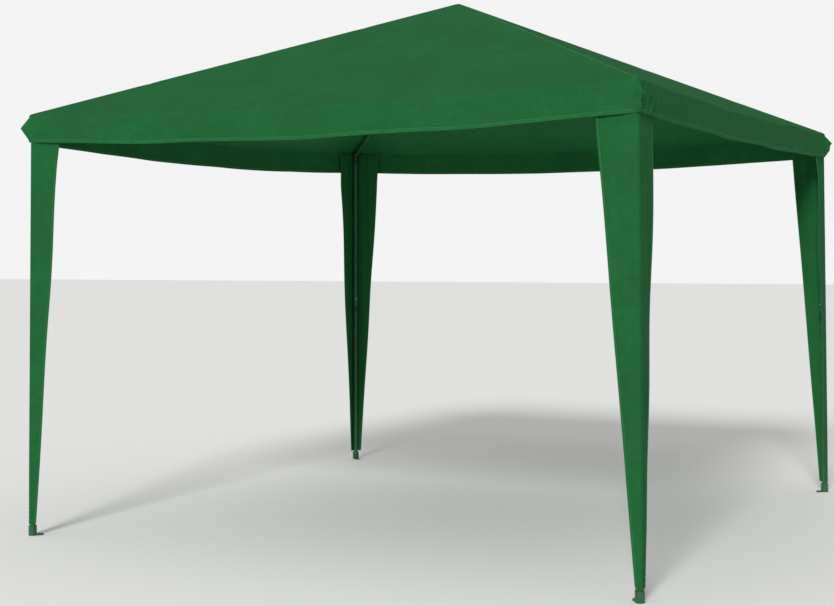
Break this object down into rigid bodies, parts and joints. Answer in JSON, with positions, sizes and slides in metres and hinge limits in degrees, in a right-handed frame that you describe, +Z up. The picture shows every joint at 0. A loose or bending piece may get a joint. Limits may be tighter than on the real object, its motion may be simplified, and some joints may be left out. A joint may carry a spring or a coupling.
{
  "type": "pop up gazebo",
  "caption": "Square pop up garden gazebo: cloth pyramid roof with valance and tapered leg covers over a folding steel frame with telescoping legs.",
  "frame": {"origin": "on the ground, under the peak", "axes": "+Z up through the peak; -Y towards the wide front side in the picture, +X towards its right"},
  "size_m": [3.1042, 3.1042, 2.6075],
  "materials": {
    "cloth": "plain woven, matt with a slight sheen",
    "tube": "powder coated, semi-matt",
    "fitting": "moulded, fine grain",
    "steel": "zinc plated"
  },
  "bodies": {
    "hub": {"peak_hub": "fitting", "peak_cap": "fitting", "hub_pins": "steel"},
    "inner_arm_1": {"inner_arm_tube_1": "tube", "knee_fork_1": "fitting", "knee_pin_1": "steel", "roof_quarter_1": "cloth"},
    "outer_arm_1": {"outer_arm_tube_1": "tube", "knee_tongue_1": "fitting"},
    "upper_leg_1": {"leg_head_1": "fitting", "elbow_pin_1": "steel", "upper_leg_tube_1": "tube", "leg_collar_1": "fitting", "leg_cover_1": "cloth"},
    "lower_leg_1": {"lower_leg_tube_1": "tube", "foot_1": "tube"},
    "snap_button_1": {"snap_button_1": "steel"},
    "inner_arm_2": {"inner_arm_tube_2": "tube", "knee_fork_2": "fitting", "knee_pin_2": "steel", "roof_quarter_2": "cloth"},
    "outer_arm_2": {"outer_arm_tube_2": "tube", "knee_tongue_2": "fitting"},
    "upper_leg_2": {"leg_head_2": "fitting", "elbow_pin_2": "steel", "upper_leg_tube_2": "tube", "leg_collar_2": "fitting", "leg_cover_2": "cloth"},
    "lower_leg_2": {"lower_leg_tube_2": "tube", "foot_2": "tube"},
    "snap_button_2": {"snap_button_2": "steel"},
    "inner_arm_3": {"inner_arm_tube_3": "tube", "knee_fork_3": "fitting", "knee_pin_3": "steel", "roof_quarter_3": "cloth"},
    "outer_arm_3": {"outer_arm_tube_3": "tube", "knee_tongue_3": "fitting"},
    "upper_leg_3": {"leg_head_3": "fitting", "elbow_pin_3": "steel", "upper_leg_tube_3": "tube", "leg_collar_3": "fitting", "leg_cover_3": "cloth"},
    "lower_leg_3": {"lower_leg_tube_3": "tube", "foot_3": "tube"},
    "snap_button_3": {"snap_button_3": "steel"},
    "inner_arm_4": {"inner_arm_tube_4": "tube", "knee_fork_4": "fitting", "knee_pin_4": "steel", "roof_quarter_4": "cloth"},
    "outer_arm_4": {"outer_arm_tube_4": "tube", "knee_tongue_4": "fitting"},
    "upper_leg_4": {"leg_head_4": "fitting", "elbow_pin_4": "steel", "upper_leg_tube_4": "tube", "leg_collar_4": "fitting", "leg_cover_4": "cloth"},
    "lower_leg_4": {"lower_leg_tube_4": "tube", "foot_4": "tube"},
    "snap_button_4": {"snap_button_4": "steel"}
  },
  "joints": [
    {"name": "hub_hinge_1", "type": "hinge", "parent": "hub", "child": "inner_arm_1", "pos_m": [0.04384, -0.04384, 2.56382], "axis": [0.7071, 0.7071, 0], "range_deg": [0, 70], "deforming": ["roof_quarter_1", "roof_quarter_2", "roof_quarter_3", "roof_quarter_4"]},
    {"name": "knee_hinge_1", "type": "hinge", "parent": "inner_arm_1", "child": "outer_arm_1", "pos_m": [0.76268, -0.76268, 2.28039], "axis": [0.7071, 0.7071, 0], "range_deg": [-161, 0]},
    {"name": "elbow_hinge_1", "type": "hinge", "parent": "outer_arm_1", "child": "upper_leg_1", "pos_m": [1.47596, -1.47596, 1.97009], "axis": [0.7071, 0.7071, 0], "range_deg": [0, 91]},
    {"name": "leg_slide_1", "type": "slide", "parent": "upper_leg_1", "child": "lower_leg_1", "axis": [0, 0, 1], "range_m": [0, 0.3], "deforming": ["leg_cover_1"]},
    {"name": "button_press_1", "type": "slide", "parent": "lower_leg_1", "child": "snap_button_1", "axis": [0.7071, -0.7071, 0], "range_m": [0, 0.0055], "stiffness_N_per_m": 900, "springref_m": -0.004},
    {"name": "hub_hinge_2", "type": "hinge", "parent": "hub", "child": "inner_arm_2", "pos_m": [0.04384, 0.04384, 2.56382], "axis": [-0.7071, 0.7071, 0], "range_deg": [0, 70]},
    {"name": "knee_hinge_2", "type": "hinge", "parent": "inner_arm_2", "child": "outer_arm_2", "pos_m": [0.76268, 0.76268, 2.28039], "axis": [-0.7071, 0.7071, 0], "range_deg": [-161, 0]},
    {"name": "elbow_hinge_2", "type": "hinge", "parent": "outer_arm_2", "child": "upper_leg_2", "pos_m": [1.47596, 1.47596, 1.97009], "axis": [-0.7071, 0.7071, 0], "range_deg": [0, 91]},
    {"name": "leg_slide_2", "type": "slide", "parent": "upper_leg_2", "child": "lower_leg_2", "axis": [0, 0, 1], "range_m": [0, 0.3], "deforming": ["leg_cover_2"]},
    {"name": "button_press_2", "type": "slide", "parent": "lower_leg_2", "child": "snap_button_2", "axis": [0.7071, 0.7071, 0], "range_m": [0, 0.0055], "stiffness_N_per_m": 900, "springref_m": -0.004},
    {"name": "hub_hinge_3", "type": "hinge", "parent": "hub", "child": "inner_arm_3", "pos_m": [-0.04384, 0.04384, 2.56382], "axis": [-0.7071, -0.7071, 0], "range_deg": [0, 70]},
    {"name": "knee_hinge_3", "type": "hinge", "parent": "inner_arm_3", "child": "outer_arm_3", "pos_m": [-0.76268, 0.76268, 2.28039], "axis": [-0.7071, -0.7071, 0], "range_deg": [-161, 0]},
    {"name": "elbow_hinge_3", "type": "hinge", "parent": "outer_arm_3", "child": "upper_leg_3", "pos_m": [-1.47596, 1.47596, 1.97009], "axis": [-0.7071, -0.7071, 0], "range_deg": [0, 91]},
    {"name": "leg_slide_3", "type": "slide", "parent": "upper_leg_3", "child": "lower_leg_3", "axis": [0, 0, 1], "range_m": [0, 0.3], "deforming": ["leg_cover_3"]},
    {"name": "button_press_3", "type": "slide", "parent": "lower_leg_3", "child": "snap_button_3", "axis": [-0.7071, 0.7071, 0], "range_m": [0, 0.0055], "stiffness_N_per_m": 900, "springref_m": -0.004},
    {"name": "hub_hinge_4", "type": "hinge", "parent": "hub", "child": "inner_arm_4", "pos_m": [-0.04384, -0.04384, 2.56382], "axis": [0.7071, -0.7071, 0], "range_deg": [0, 70]},
    {"name": "knee_hinge_4", "type": "hinge", "parent": "inner_arm_4", "child": "outer_arm_4", "pos_m": [-0.76268, -0.76268, 2.28039], "axis": [0.7071, -0.7071, 0], "range_deg": [-161, 0]},
    {"name": "elbow_hinge_4", "type": "hinge", "parent": "outer_arm_4", "child": "upper_leg_4", "pos_m": [-1.47596, -1.47596, 1.97009], "axis": [0.7071, -0.7071, 0], "range_deg": [0, 91]},
    {"name": "leg_slide_4", "type": "slide", "parent": "upper_leg_4", "child": "lower_leg_4", "axis": [0, 0, 1], "range_m": [0, 0.3], "deforming": ["leg_cover_4"]},
    {"name": "button_press_4", "type": "slide", "parent": "lower_leg_4", "child": "snap_button_4", "axis": [-0.7071, -0.7071, 0], "range_m": [0, 0.0055], "stiffness_N_per_m": 900, "springref_m": -0.004}
  ],
  "couplings": [
    {"joint": "knee_hinge_1", "follows": "hub_hinge_1", "ratio": -2.3},
    {"joint": "elbow_hinge_1", "follows": "hub_hinge_1", "ratio": 1.3},
    {"joint": "hub_hinge_2", "follows": "hub_hinge_1", "ratio": 1},
    {"joint": "knee_hinge_2", "follows": "hub_hinge_1", "ratio": -2.3},
    {"joint": "elbow_hinge_2", "follows": "hub_hinge_1", "ratio": 1.3},
    {"joint": "hub_hinge_3", "follows": "hub_hinge_1", "ratio": 1},
    {"joint": "knee_hinge_3", "follows": "hub_hinge_1", "ratio": -2.3},
    {"joint": "elbow_hinge_3", "follows": "hub_hinge_1", "ratio": 1.3},
    {"joint": "hub_hinge_4", "follows": "hub_hinge_1", "ratio": 1},
    {"joint": "knee_hinge_4", "follows": "hub_hinge_1", "ratio": -2.3},
    {"joint": "elbow_hinge_4", "follows": "hub_hinge_1", "ratio": 1.3}
  ]
}
